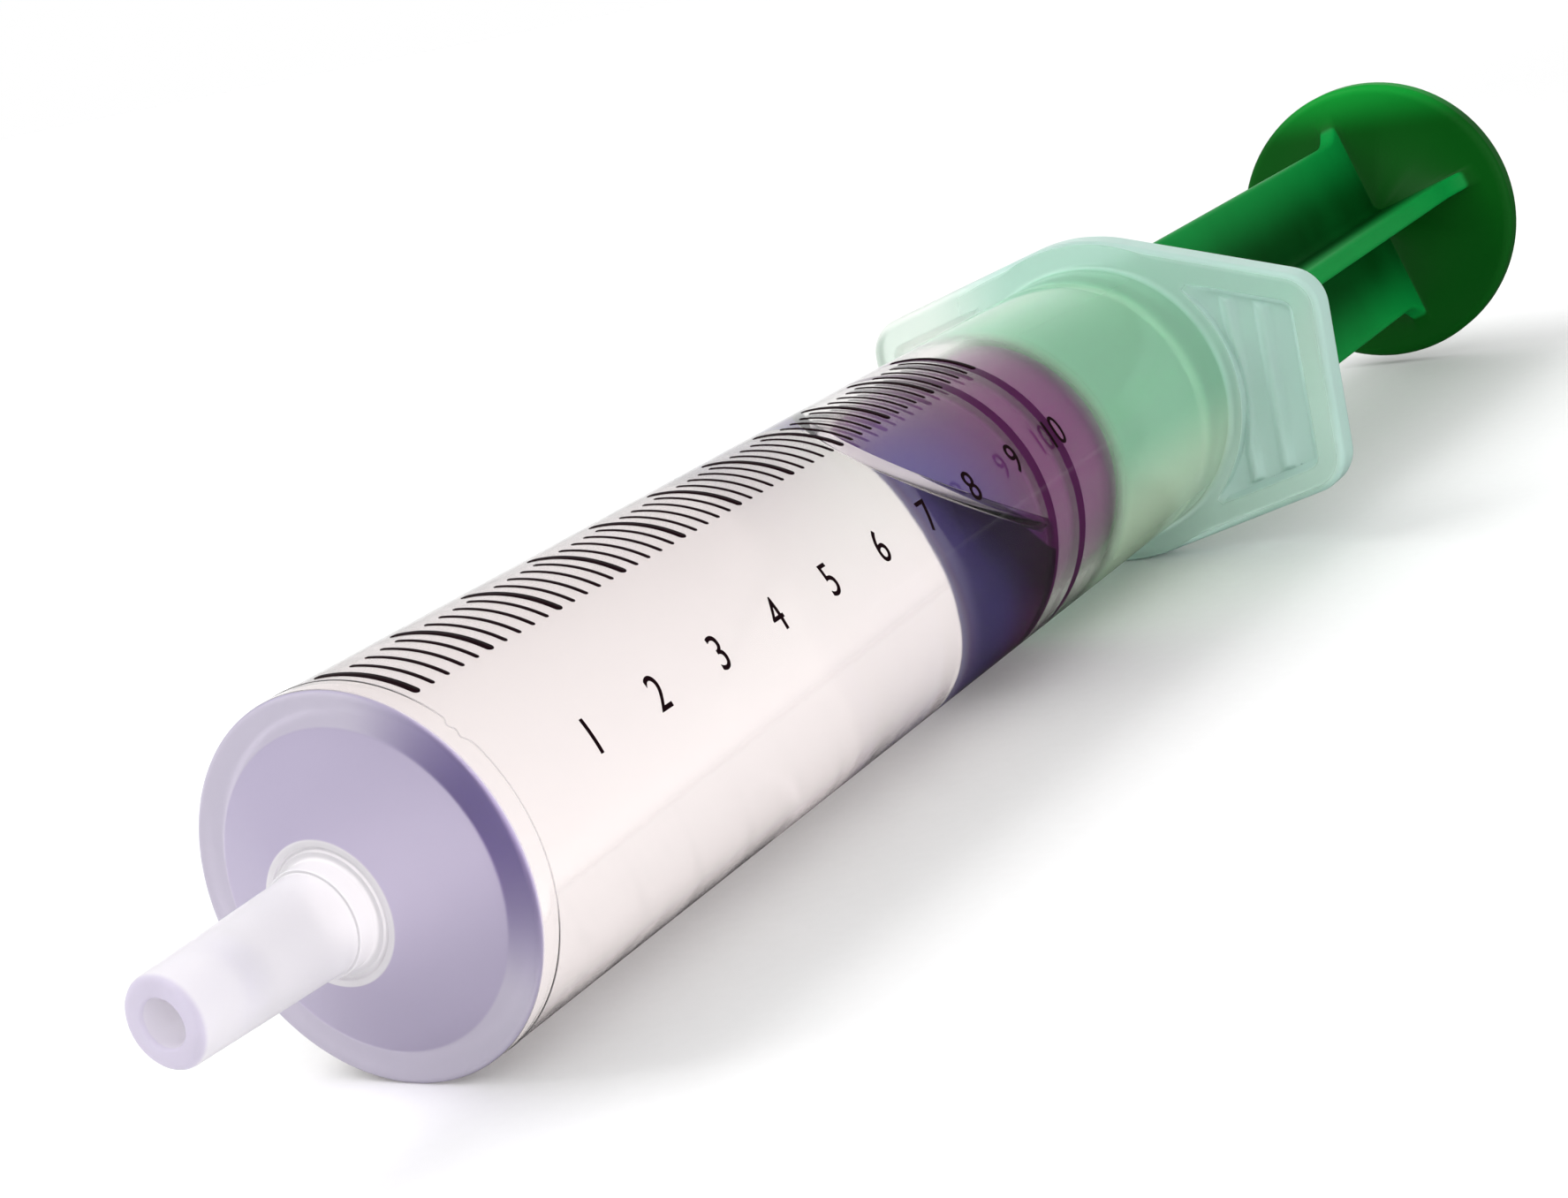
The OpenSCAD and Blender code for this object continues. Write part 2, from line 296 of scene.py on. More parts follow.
def makeRubber():
    look, s = rubberLook, stopperSizes
    material, tree = newMaterial("bromobutylRubber")
    place, parts = placeInMm(tree)
    outward = distanceFromAxis(tree, parts)
    sealFrom, sealTo = [s["waist"] + rise for rise in look["sealRise"]]
    # painted shade where the seals press on the wall
    sealShade = addNode(tree, "ShaderNodeMapRange", softStep, Value=outward, _1=sealFrom, _2=sealTo).outputs[0]
    # painted bluish haze on the cone in front
    cone = addNode(tree, "ShaderNodeMapRange", softStep, Value=parts["X"],
                   _1=s["nose"] + look["coneReach"][0], _2=s["shoulder"] + look["coneReach"][1],
                   _3=look["coneShare"], _4=0).outputs[0]
    # painted light on the front's side away from the camera
    side = addNode(tree, "ShaderNodeVectorMath", dotProduct, _0=place, _1=look["litAhead"]).outputs["Value"]
    side = addNode(tree, "ShaderNodeMapRange", softStep, Value=side, _1=look["litReach"][0],
                   _2=look["litReach"][1]).outputs[0]
    front = addNode(tree, "ShaderNodeMapRange", softStep, Value=parts["X"],
                    _1=s["shoulder"] - look["litEdge"], _2=s["shoulder"], _3=1, _4=0).outputs[0]
    lit = addNode(tree, "ShaderNodeMath", times, _0=front, _1=side).outputs[0]
    # painted shade just under the waterline, ahead of the first seal
    height = addNode(tree, "ShaderNodeVectorMath", dotProduct, _0=place, _1=levelUp).outputs["Value"]
    under = addNode(tree, "ShaderNodeMath", minus, _0=fluidSizes["levelHeight"] - fluidSizes["climb"],
                    _1=height).outputs[0]
    sunk = addNode(tree, "ShaderNodeMapRange", softStep, Value=under, _1=look["sunkReach"][0],
                   _2=look["sunkReach"][1], _3=look["sunkShare"], _4=0).outputs[0]
    edge = addNode(tree, "ShaderNodeMapRange", softStep, Value=under, _2=look["sunkEdge"]).outputs[0]
    sunk = addNode(tree, "ShaderNodeMath", times, _0=sunk, _1=edge).outputs[0]
    before = addNode(tree, "ShaderNodeMapRange", softStep, Value=parts["X"], _1=s["firstSeal"],
                     _2=s["firstSeal"] + look["sunkEnd"], _3=1, _4=0).outputs[0]
    sunk = addNode(tree, "ShaderNodeMath", times, _0=sunk, _1=before).outputs[0]
    grain = addNode(tree, "ShaderNodeTexNoise", Vector=place, Scale=1 / look["grain"],
                    Detail=look["grainDetail"]).outputs[0]
    shade = layered(tree, colour(look["dark"]), (grain, colour(look["light"])), (cone, colour(look["cone"])),
                    (sealShade, colour(look["seal"])), (lit, colour(look["lit"])), (sunk, colour(look["sunk"])))
    shader = addNode(tree, "ShaderNodeBsdfPrincipled", Base_Color=shade, Roughness=look["roughness"],
                     IOR=look["ior"], Specular_IOR_Level=look["gloss"])
    finishMaterial(tree, shader)
    return material


# Coloured polypropylene, dark green: painted shade near the axis, where it is thick, painted light in the
# thin outer edges, as if light shone through them, and painted light toward the top of the thumb rest.
greenLook = {
    # dark green with painted shade near the axis
    "shadedCore": "#003808",
    # painted light in the thin outer edges
    "edge": "#088c3c",
    "edgeReach": (2.5, 7.6),
    "rest": "#04500f",
    # painted light toward the top of the thumb rest
    "restLitTop": "#08902f",
    "restReach": (7, 11),
    "restFade": 0.4,
    "flow": 6.0,
    "flowDetail": 3,
    "flowShare": 0.25,
    "roughness": 0.45,
    "ior": 1.49,
    "gloss": 0.08,
}


def makeGreen():
    look = greenLook
    material, tree = newMaterial("greenPolypropylene")
    place, parts = placeInMm(tree)
    outward = distanceFromAxis(tree, parts)
    # share of painted light toward the thin outer edges
    thinGlow = addNode(tree, "ShaderNodeMapRange", softStep, Value=outward, _1=look["edgeReach"][0],
                   _2=look["edgeReach"][1]).outputs[0]
    flow = addNode(tree, "ShaderNodeTexNoise", Vector=place, Scale=1 / look["flow"],
                   Detail=look["flowDetail"]).outputs[0]
    thinGlow = addNode(tree, "ShaderNodeMix", _0=look["flowShare"], _2=thinGlow, _3=flow).outputs[0]
    # painted light toward the top of the thumb rest
    high = addNode(tree, "ShaderNodeMapRange", softStep, Value=parts["Z"], _1=look["restReach"][0],
                   _2=look["restReach"][1]).outputs[0]
    onRest = addNode(tree, "ShaderNodeMapRange", softStep, Value=parts["X"],
                     _1=rodSizes["thumbFront"] - look["restFade"], _2=rodSizes["thumbFront"]).outputs[0]
    rest = layered(tree, colour(look["rest"]), (high, colour(look["restLitTop"])))
    shade = layered(tree, colour(look["shadedCore"]), (thinGlow, colour(look["edge"])), (onRest, rest))
    shader = addNode(tree, "ShaderNodeBsdfPrincipled", Base_Color=shade, Roughness=look["roughness"],
                     IOR=look["ior"], Specular_IOR_Level=look["gloss"])
    finishMaterial(tree, shader)
    return material


# Screen-printed ink: nearly black plum and matt.
inkLook = {"dark": "#0e0105", "light": "#1f040d", "roughness": 0.6, "gloss": 0.05, "speck": 0.15}


def makeInk():
    material, tree = newMaterial("screenPrintInk")
    place = placeInMm(tree)[0]
    speck = addNode(tree, "ShaderNodeTexNoise", Vector=place, Scale=1 / inkLook["speck"]).outputs[0]
    shade = layered(tree, colour(inkLook["dark"]), (speck, colour(inkLook["light"])))
    shader = addNode(tree, "ShaderNodeBsdfPrincipled", Base_Color=shade, Roughness=inkLook["roughness"],
                     Specular_IOR_Level=inkLook["gloss"])
    finishMaterial(tree, shader)
    return material


# Rounds the corners of an outline. Each corner is (x, radius, rounding), and the first and last have none. A
# long straight stretch gets a point close to each end, so that smooth shading stays flat along it.
def roundedOutline(corners, steps=5, support=0.06, longStretch=0.5):
    chain = []
    for i, (x, radius, rounding) in enumerate(corners):
        here = Vector((x, radius))
        if rounding == 0:
            chain.append(here)
            continue
        back = (Vector(corners[i - 1][:2]) - here).normalized()
        ahead = (Vector(corners[i + 1][:2]) - here).normalized()
        half = back.angle(ahead) / 2
        centre = here + (back + ahead).normalized() * rounding / sin(half)
        start = (here + back * rounding / tan(half) - centre).normalized()
        end = (here + ahead * rounding / tan(half) - centre).normalized()
        chain += [centre + start.slerp(end, k / steps) * rounding for k in range(steps + 1)]
    points = [tuple(chain[0])]
    for here, ahead in zip(chain, chain[1:]):
        step = ahead - here
        if step.length > longStretch:
            points += [tuple(here + step.normalized() * support), tuple(ahead - step.normalized() * support)]
        points.append(tuple(ahead))
    return points


# A closed skin over rings. A ring is a function from an angle to (x, radius); 0 is +Y and 90 degrees +Z.
# Marks are attributes that the material reads: for each name, a function from an angle for each ring.
def skin(name, rings, angles, material, closed=False, marks=None):
    count = len(angles)
    points = []
    for ring in rings:
        for angle in angles:
            x, radius = ring(angle)
            points.append((x * mm, radius * cos(angle) * mm, radius * sin(angle) * mm))
    faces = []
    for i in range(len(rings) if closed else len(rings) - 1):
        here, ahead = i * count, (i + 1) % len(rings) * count
        for k in range(count):
            after = (k + 1) % count
            faces.append((here + k, here + after, ahead + after, ahead + k))
    if not closed:
        for end, x in ((0, rings[0](0)[0]), (len(rings) - 1, rings[-1](0)[0])):
            middle = len(points)
            points.append((x * mm, 0, 0))
            for k in range(count):
                pair = (end * count + k, end * count + (k + 1) % count)
                faces.append((pair[1], pair[0], middle) if end == 0 else (*pair, middle))
    mesh = bpy.data.meshes.new(name)
    mesh.from_pydata(points, [], faces)
    mesh.materials.append(material)
    mesh.shade_smooth()
    for key, values in (marks or {}).items():
        layer = mesh.attributes.new(key, "FLOAT", "POINT")
        layer.data.foreach_set("value", [value(angle) for value in values for angle in angles])
    return addToScene(name, mesh)


def roundRings(points):
    return [lambda angle, p=p: p for p in points]


# A mark that is the same all round.
def even(value):
    return lambda angle: value


def evenAngles(count):
    return [2 * pi * k / count for k in range(count)]


def smooth(t):
    t = min(max(t, 0), 1)
    return t * t * (3 - 2 * t)


# The barrel: tip, nose, tube, inner bead and flange, as one closed skin. A reach is how far a mark goes on
# past the place that it is for, and a fade is how long it takes to end.
barrelSizes = {
    "boreRadius": 7.8,
    "radius": 8.8,
    "tipRadius": 2.0,
    "tipRootRadius": 2.27,
    "tipLength": 9.05,
    "tipBore": 1.05,
    "tipSplit": 4,                  # where the skin of the passage starts and ends
    "tipRings": (0.6, 1.1),         # rings ahead of that place
    "tipRingsBehind": (0.8, 0.3),   # and behind it
    "collarRadius": 2.42,
    "collarEnd": 10.15,
    "collarGroove": ((2.72, 0), (2.8, 0.08), (2.88, 0.08), (2.96, 0)),   # radius, depth
    "ringRadius": 3.2,
    "noseRadius": 7.25,
    "frontFace": 12.4,
    "partingLine": 13.74,
    "partingHeight": 0.025,
    "partingProfile": ((-0.06, 0), (-0.02, 1), (0.02, 1), (0.06, 0)),    # place, share of the height
    "partingReach": 0.1,
    "partingSlip": 0.2,
    "partingSlipAt": (127, 140),
    "slipReach": 0.3,
    "slipFade": 0.1,
    "slipEnds": (0.06, 0.1),
    "slipWave": 0.4,
    "slipWaves": 70,
    "floor": 13.7,
    "wallRings": 25,
    "wallStep": 0.5,
    "beadHeight": 0.25,
    "beadFront": 85.3,
    "beadRear": 88.3,
    "beadReach": 0.3,
    "mouthBevel": 0.4,
    "mouthRim": 0.6,
    "flangeStart": 0.5,
    "rounding": {"creases": 0.04, "mouth": 0.1, "passage": 0.15, "tip": 0.35, "collarFront": 0.05,
                 "collar": 0.2, "ring": 0.18, "nose": 0.4, "edge": 0.28, "flange": 0.35, "bead": 0.3,
                 "floor": 0.35, "floorTip": 0.5},
    "ringFrost": 0.4,
    "ringReach": 0.1,
    "ringFade": 0.15,
    "faceReach": 0.3,
    "faceFade": 0.25,
    "tipWhite": (0.2, 0.05),        # past the collar's end, inside the ring and on it
    "tipFade": 0.05,
    "rimFrost": 0.6,
    "rimReach": 0.38,
    "rimFade": 0.3,
    "mouthFrost": 3,
    "mouthFade": 0.5,
    "threadEnd": 3.85,
    "threadReach": 0.9,
    "threadFade": 0.4,
    "deepAt": 158,
    "deepReach": 60,
    "deepFade": 55,
    "slack": 0.01,
    "segments": 384,
}
flangeSizes = {
    "front": 89.4,
    "halfSpan": 15.5,
    "halfEnd": 6.4,
    "waist": 10.5,
    "corner": 2.5,
    "border": 1.6,
    "panelDepth": 0.5,
    "panelSlope": 0.35,
    "panelFade": 1.2,
    "panelEdge": 0.1,
    "panelLeast": 0.3,
    "ringGap": 0.01,                # between the panel's rings where they crowd
    "rootRing": 9.6,
    "rootStart": 0.45,
    "rootFoot": (0.1, 0.18),
    "rootRounding": (0.12, 0.05),
    "ridgeAt": (9.6, 11.75),
    "ridgeWidth": 0.7,
    "ridgeSide": 0.27,
    "ridgeEnd": 0.35,
    "ridgeShare": 0.65,
    "ridgeSlopes": (-0.62, -0.5, -0.38, -0.26, -0.14, 0, 0.14, 0.26, 0.38, 0.5, 0.62),
    "flatReaches": (8.4, 10.4, 10.9, 12.6, 13.1),
    "borderStart": 0.3,
    "borderLeast": 0.5,
    "borderCrowd": 0.15,
    "borderRounding": 0.15,
    "edgeRounding": 0.5,
}


def flangeRadius(angle, inset):
    # The outline has a round waist, straight long edges that lean, rounded corners and straight ends.
    s = flangeSizes
    lean = atan2(s["halfSpan"], s["halfEnd"]) - acos(s["waist"] / hypot(s["halfSpan"], s["halfEnd"]))
    cornerX = s["halfSpan"] - s["corner"]
    cornerY = (s["waist"] - s["corner"] - cornerX * sin(lean)) / cos(lean)
    corner = s["corner"] - inset
    folded = atan2(abs(sin(angle)), abs(cos(angle)))
    if folded > pi / 2 - lean:
        return s["waist"] - inset
    if folded < atan2(cornerY, s["halfSpan"] - inset):
        return (s["halfSpan"] - inset) / cos(folded)
    if folded > atan2(cornerY + corner * cos(lean), cornerX + corner * sin(lean)):
        return (s["waist"] - inset) / cos(pi / 2 - lean - folded)
    middle = cornerX * cos(folded) + cornerY * sin(folded)
    return middle + (max(middle ** 2 - cornerX ** 2 - cornerY ** 2 + corner ** 2, 0)) ** 0.5


def flangeRings():
    s = flangeSizes
    front, back, root = s["front"], barrelHigh[0], s["rootRing"]
    panel = front + s["panelDepth"]
    inner = s["border"] + s["panelSlope"]
    nearFoot, farFoot = [root + foot for foot in s["rootFoot"]]
    lines = sorted([at + slope for at in s["ridgeAt"] for slope in s["ridgeSlopes"]] + list(s["flatReaches"]))

    def panelShare(angle):
        # The panel fades out where the flange is hardly wider than its root.
        return smooth((flangeRadius(angle, inner) - root) / s["panelFade"])

    def rootRing(x, radius):
        return lambda angle: (front + (x - front) * panelShare(angle), radius)

    # Each ring of the panel follows a straight line along the ridges, as far as the panel reaches.
    def panelRing(k, line):
        def ring(angle):
            end = max(flangeRadius(angle, inner) - s["panelEdge"], farFoot + s["panelLeast"])
            least, most = farFoot + s["ringGap"] * (k + 1), end - s["ringGap"] * (len(lines) - k)
            radius = min(max(line / max(abs(cos(angle)), s["ringGap"]), least), most)
            reach = abs(radius * cos(angle))
            side = s["ridgeSide"]
            ridge = max(smooth((s["ridgeWidth"] / 2 + side - abs(reach - at)) / (2 * side))
                        for at in s["ridgeAt"])
            inside = smooth((radius - farFoot) / s["ridgeEnd"]) * smooth((end - radius) / s["ridgeEnd"])
            depth = s["panelDepth"] * panelShare(angle) * (1 - ridge * inside * s["ridgeShare"])
            return front + depth, radius
        return ring

    # The border's rings crowd together where the flange is hardly wider than its root.
    def borderRing(x, inset):
        def ring(angle):
            least = root + s["borderLeast"] + (inner + s["panelEdge"] - inset) * s["borderCrowd"]
            onSlope = inset > s["edgeRounding"] and x < panel + s["panelEdge"]
            depth = (x - front) * (panelShare(angle) if onSlope else 1)
            return front + depth, max(flangeRadius(angle, inset), least)
        return ring

    rings = [rootRing(x, radius) for x, radius in roundedOutline([
        (front, barrelSizes["radius"] + s["rootStart"], 0),
        (front, root, s["rootRounding"][0]),
        (panel, nearFoot, s["rootRounding"][1]),
        (panel, farFoot, 0),
    ], 3)]
    rings += [panelRing(k, line) for k, line in enumerate(lines)]
    border = roundedOutline([
        (panel, -inner - s["borderStart"], 0),
        (panel, -inner, s["borderRounding"]),
        (front, -s["border"], s["borderRounding"]),
        (front, 0, s["edgeRounding"]),
        (back, 0, s["edgeRounding"]),
        (back, -s["border"], 0),
    ], 4)
    return rings + [borderRing(x, -inset) for x, inset in border[1:]]


# How far a radius is on the flat ring round the nose, and how far an x is ahead of the ring's end.
def onRing(radius):
    s = barrelSizes
    return smooth((radius - s["noseRadius"] + s["ringReach"]) / s["ringFade"])


def inFront(x):
    s = barrelSizes
    return smooth((s["frontFace"] + s["faceReach"] - x) / s["faceFade"])


# The part of the flat ring with painted violet, which stands for the stopper seen through it.
def deepAt(x, radius):
    s = barrelSizes
    share = onRing(radius) * inFront(x)

    def deep(angle):
        turn = abs((angle - radians(s["deepAt"]) + pi) % (2 * pi) - pi)
        return share * smooth((radians(s["deepReach"]) - turn) / radians(s["deepFade"]))
    return deep


# Frost on the outside, from 0 for polished to 1 for frosted and 2 for white; 3 is the tip's mouth, painted
# white for light that comes through the passage. The nose is frosted, the tip and its root are white, and the
# flat ring is paler than the nose, but for its part with painted violet.
def frostAt(x, radius):
    s = barrelSizes
    white = s["tipWhite"][0] if radius < s["ringRadius"] - s["tipWhite"][0] else s["tipWhite"][1]
    tip = smooth((s["collarEnd"] + white - x) / s["tipFade"])
    tip -= s["rimFrost"] * smooth((s["rimReach"] - x) / s["rimFade"])
    front, ring, deep = inFront(x), s["ringFrost"] * onRing(radius), deepAt(x, radius)
    return lambda angle: front * (1 + ring * (1 - deep(angle))) + tip


def seamAt(x, radius):
    s = barrelSizes
    return float(radius > s["radius"] + s["partingHeight"] / 2 and x < s["partingLine"] + s["partingReach"])


# The parting line slips a little toward the tip on one side, where the mould's halves didn't quite meet.
def slippedRing(x, radius):
    s = barrelSizes
    start, end = [radians(angle) for angle in s["partingSlipAt"]]
    share = smooth((s["slipReach"] - abs(x - s["partingLine"])) / s["slipFade"])

    def ring(angle):
        slip = smooth((angle - start) / s["slipEnds"][0]) * smooth((end - angle) / s["slipEnds"][1])
        wave = 1 + s["slipWave"] * sin(angle * s["slipWaves"])
        return x - s["partingSlip"] * share * slip * wave, radius
    return ring


# Painted shade in the passage round the front end of the thread of fluid.
def threadEnd(x):
    s = barrelSizes
    return smooth((s["threadReach"] - abs(x - s["threadEnd"])) / s["threadFade"])


# The bead's front half is marked 1, for its painted highlight, and its back half -1, for its painted shade.
def beadBand(x):
    s = barrelSizes
    middle = s["beadFront"] + (s["beadRear"] - s["beadFront"]) / 2
    if s["beadFront"] < x < middle:
        return 1.0
    return -1.0 if middle < x < s["beadRear"] + s["beadReach"] else 0.0


def barrelMarks(outside, flange, inside):
    s = barrelSizes
    passage, mouth = s["tipBore"] + s["slack"], fluidSizes["threadFront"]
    none = [even(0.0)] * len(flange)
    frost = [frostAt(x, radius) for x, radius in outside] + none
    # the passage's mouth is painted white, for light that comes through it
    frost += [even(s["mouthFrost"] * smooth((mouth - x) / s["mouthFade"])) for x, radius in inside]
    # painted violet on one side of the ring, and painted shade round the end of the fluid's thread
    deep = [even(threadEnd(x)) if radius < passage else deepAt(x, radius) for x, radius in outside] + none
    deep += [even(threadEnd(x) if radius < passage else 0.0) for x, radius in inside]
    seam = [even(seamAt(x, radius)) for x, radius in outside] + none + [even(0.0)] * len(inside)
    # painted highlight on the bead's front and painted shade on its back
    beadLightAndShade = [even(0.0)] * len(outside) + none + [even(beadBand(x)) for x, radius in inside]
    return {"frost": frost, "deep": deep, "seam": seam, "beadLightAndShade": beadLightAndShade}


# Where the cone of the barrel's floor meets the passage. It is parallel to the nose.
def floorTip():
    s = barrelSizes
    rise = (s["frontFace"] - s["collarEnd"]) / (s["noseRadius"] - s["ringRadius"])
    return s["floor"] - (s["boreRadius"] - s["tipBore"]) * rise


def barrelRings():
    s, r = barrelSizes, barrelSizes["rounding"]
    front, seal = flangeSizes["front"], stopperSizes["firstSeal"]
    line, split = s["partingLine"], s["tipSplit"]
    bead, beadThird = s["boreRadius"] - s["beadHeight"], (s["beadRear"] - s["beadFront"]) / 3
    mouth = s["boreRadius"] + s["mouthBevel"]
    outside = roundedOutline([
        (split, s["tipBore"], 0),
        *[(split - reach, s["tipBore"], 0) for reach in s["tipRings"]],
        (0, s["tipBore"], r["passage"]),
        (0, s["tipRadius"], r["tip"]),
        (s["tipLength"], s["tipRootRadius"], r["creases"]),
        (s["tipLength"], s["collarRadius"], r["collarFront"]),
        (s["collarEnd"], s["collarRadius"], r["collar"]),
        *[(s["collarEnd"] + depth, radius, r["creases"]) for radius, depth in s["collarGroove"]],
        (s["collarEnd"], s["ringRadius"], r["ring"]),
        (s["frontFace"], s["noseRadius"], r["nose"]),
        (s["frontFace"], s["radius"], r["edge"]),
        *[(line + at, s["radius"] + share * s["partingHeight"], 0) for at, share in s["partingProfile"]],
        (front, s["radius"], r["flange"]),
        (front, s["radius"] + s["flangeStart"], 0),
    ])[:-1]
    # The wall has close rings ahead of the first seal, where the fluid's slanting surface ends.
    inside = roundedOutline([
        (barrelHigh[0], mouth + s["mouthRim"], 0),
        (barrelHigh[0], mouth, r["mouth"]),
        (barrelHigh[0] - s["mouthBevel"], s["boreRadius"], r["mouth"]),
        (s["beadRear"], s["boreRadius"], r["bead"]),
        (s["beadRear"] - beadThird, bead, r["bead"]),
        (s["beadFront"] + beadThird, bead, r["bead"]),
        (s["beadFront"], s["boreRadius"], r["bead"]),
        *[(seal - s["wallStep"] * k, s["boreRadius"], 0) for k in range(s["wallRings"])],
        (s["floor"], s["boreRadius"], r["floor"]),
        (floorTip(), s["tipBore"], r["floorTip"]),
        *[(split + reach, s["tipBore"], 0) for reach in s["tipRingsBehind"]],
        (split, s["tipBore"], 0),
    ])[:-1]
    flange = flangeRings()
    shell = [slippedRing(x, radius) for x, radius in outside]
    return shell + flange + roundRings(inside), barrelMarks(outside, flange, inside)


# The fluid. It overlaps the wall and the stopper a little, so that light never meets a film of air. A thread
# of it stands in the tip, and an air bubble lies above it against the stopper. The fluid's free surface is
# flat, but for the rim that climbs the wall.
fluidSizes = {
    "overlap": 0.05,
    "behind": 0.4,
    "waistInset": 0.1,
    "shoulderInset": 0.15,
    "coneStart": 0.45,
    "axisRadius": 0.2,
    "threadFront": 4.4,
    "levelUp": (0.358, -0.441, 0.823),
    "levelHeight": 25.93,
    "climb": 1.25,
    "climbReach": 0.5,
    "rounding": {"thread": 0.5, "floorTip": 0.4, "floor": 0.35},
    "wallStart": 0.35,
    "radii": (7.8, 7.74, 7.67, 7.6, 7.52, 7.43, 7.3, 7.15, 6.9, 6.6, 6.2, 5.7, 5.0, 4.2, 3.2, 2.2, 1.4, 0.4),
    "surfaceInset": 0.05,
    "surfaceFacing": 0.1,
    "sharpAngle": 50,
    "segments": 256,
}
levelUp = Vector(fluidSizes["levelUp"]).normalized()


# Where the fluid ends at a distance from the axis: just inside the stopper, or at its free surface.
def fluidRear(radius):
    s, f = stopperSizes, fluidSizes
    waist = s["waist"] - f["waistInset"]
    share = min(max((waist - radius) / (waist - s["noseRadius"]), 0), 1)
    inStopper = s["shoulder"] + f["behind"] + f["shoulderInset"]
    inStopper -= (s["shoulder"] - f["coneStart"] - s["nose"]) * share
    sunk = f["climb"] * (1 - exp(-max(barrelSizes["boreRadius"] - radius, 0) / f["climbReach"]))

    def ring(angle):
        level = f["levelHeight"] - sunk - radius * (levelUp.y * cos(angle) + levelUp.z * sin(angle))
        return min(inStopper, level / levelUp.x), radius
    return ring, inStopper


def fluidRings():
    b, f, r = barrelSizes, fluidSizes, fluidSizes["rounding"]
    over = f["overlap"]
    radius = b["boreRadius"] + over
    front = roundedOutline([
        (f["threadFront"], f["axisRadius"], 0),
        (f["threadFront"], b["tipBore"] + over, r["thread"]),
        (floorTip() - over, b["tipBore"] + over, r["floorTip"]),
        (b["floor"] - over, radius, r["floor"]),
        (b["floor"] + f["wallStart"], radius, 0),
    ])
    return roundRings(front) + [fluidRear(near)[0] for near in (radius, *f["radii"])]


# The stopper: a conical front, two seals pressed on the bore, and a socket for the rod's stud.
stopperSizes = {
    "nose": stopperLow[0],
    "noseRadius": 1.4,
    "axisRadius": 0.4,
    "waist": 7.4,
    "seal": 7.83,
    "shoulder": 62.75,
    "firstSeal": 63.45,
    "secondSeal": 67.15,
    "crest": 0.42,
    "slope": 0.8,
    "back": stopperHigh[0],
    "neck": 2.38,
    "head": 3.78,
    "headBack": 71.13,
    "headFront": 67.37,
    "headSlope": 1.4,
    "headEnd": 1.9,
    "rounding": {"nose": 0.5, "foot": 0.15, "crest": 0.2, "back": 0.3, "socket": 0.2, "head": 0.3},
    "segments": 256,
}


def stopperRings():
    s, r = stopperSizes, stopperSizes["rounding"]
    ribs = []
    for at in (s["firstSeal"], s["secondSeal"]):
        ribs += [(at - s["slope"], s["waist"], r["foot"]), (at - s["crest"], s["seal"], r["crest"]),
                 (at + s["crest"], s["seal"], r["crest"]), (at + s["slope"], s["waist"], r["foot"])]
    return roundRings(roundedOutline([
        (s["nose"], s["axisRadius"], 0),
        (s["nose"], s["noseRadius"], r["nose"]),
        *ribs,
        (s["back"], s["waist"], r["back"]),
        (s["back"], s["neck"], r["socket"]),
        (s["headBack"], s["neck"], r["socket"]),
        (s["headBack"], s["head"], r["socket"]),
        (s["headFront"] + s["headSlope"], s["head"], r["head"]),
        (s["headFront"], s["headEnd"], r["socket"]),
        (s["headFront"], s["axisRadius"], 0),
    ]))


# The plunger rod: stud, disc, crossed fins and thumb rest, as one closed skin.
rodSizes = {
    "studFront": rodLow[0],
    "axisRadius": 0.4,
    "studEnd": 1.85,
    "studSlope": 1.44,
    "head": 3.7,
    "headBack": 71.05,
    "neck": 2.3,
    "disc": 7.65,
    "discFront": 73.35,
    "discBack": 74.55,
    "discRim": 0.25,
    "finReach": 7.3,
    "finHalf": 0.7,
    "finEdge": 0.35,
    "finRoot": 0.7,
    "finFoot": 0.2,
    "finTurn": 18,
    "tipShares": (0, 0.3, 0.5, 0.62, 0.74, 0.84, 0.92, 0.98, 1.04, 1.1),   # of the angle to a fin's corner
    "sideSteps": 12,
    "flare": 1.2,
    "flareLength": 3.5,
    "flareSteps": 8,
    "thumbFront": 145.35,
    "thumbRadius": 11.0,
    "thumbStart": 1.4,
    "rim": 9.2,
    "rimSlope": 0.2,
    "dishDepth": 0.5,
    "dishRings": 3,
    "dishRingWidth": 0.8,
    "dishRingHeight": 0.25,
    "dishRingSlope": 0.1,
    "back": rodHigh[0],
    "rounding": {"stud": 0.2, "head": 0.3, "neck": 0.15, "disc": 0.2, "thumb": 0.6, "rim": 0.2,
                 "dish": 0.15, "ringFoot": 0.06, "ringTop": 0.08},
}
finStart = pi - radians(rodSizes["finTurn"])


def finRadius(angle, reach):
    # Distance from the axis to the crossed fins' outline, for an angle from the first fin.
    s = rodSizes
    half, edge, root = s["finHalf"], s["finEdge"], s["finRoot"]
    folded = angle % (pi / 2)
    folded = min(folded, pi / 2 - folded)
    c, d = cos(folded), sin(folded)
    if folded <= atan2(half - edge, reach):
        return reach / c
    corner = (reach - edge) * c + (half - edge) * d
    square = corner ** 2 - (reach - edge) ** 2 - (half - edge) ** 2 + edge ** 2
    if folded < atan2(half, reach - edge):
        return corner + max(square, 0) ** 0.5
    centre = half + root
    if folded > atan2(half, centre):
        middle = centre * (c + d)
        return middle - (middle ** 2 - 2 * centre ** 2 + root ** 2) ** 0.5
    return half / d


# Angles that crowd at the fins' tips, the same in each eighth of the turn.
def rodAngles():
    s = rodSizes
    tip = atan2(s["finHalf"], s["finReach"])
    half = [tip * share for share in s["tipShares"]]
    wide = pi / 4 - half[-1]
    half += [half[-1] + wide * (k / s["sideSteps"]) for k in range(1, s["sideSteps"] + 1)]
    quarter = half + [pi / 2 - angle for angle in reversed(half[1:-1])]
    return [finStart + k * pi / 2 + angle for k in range(4) for angle in quarter]


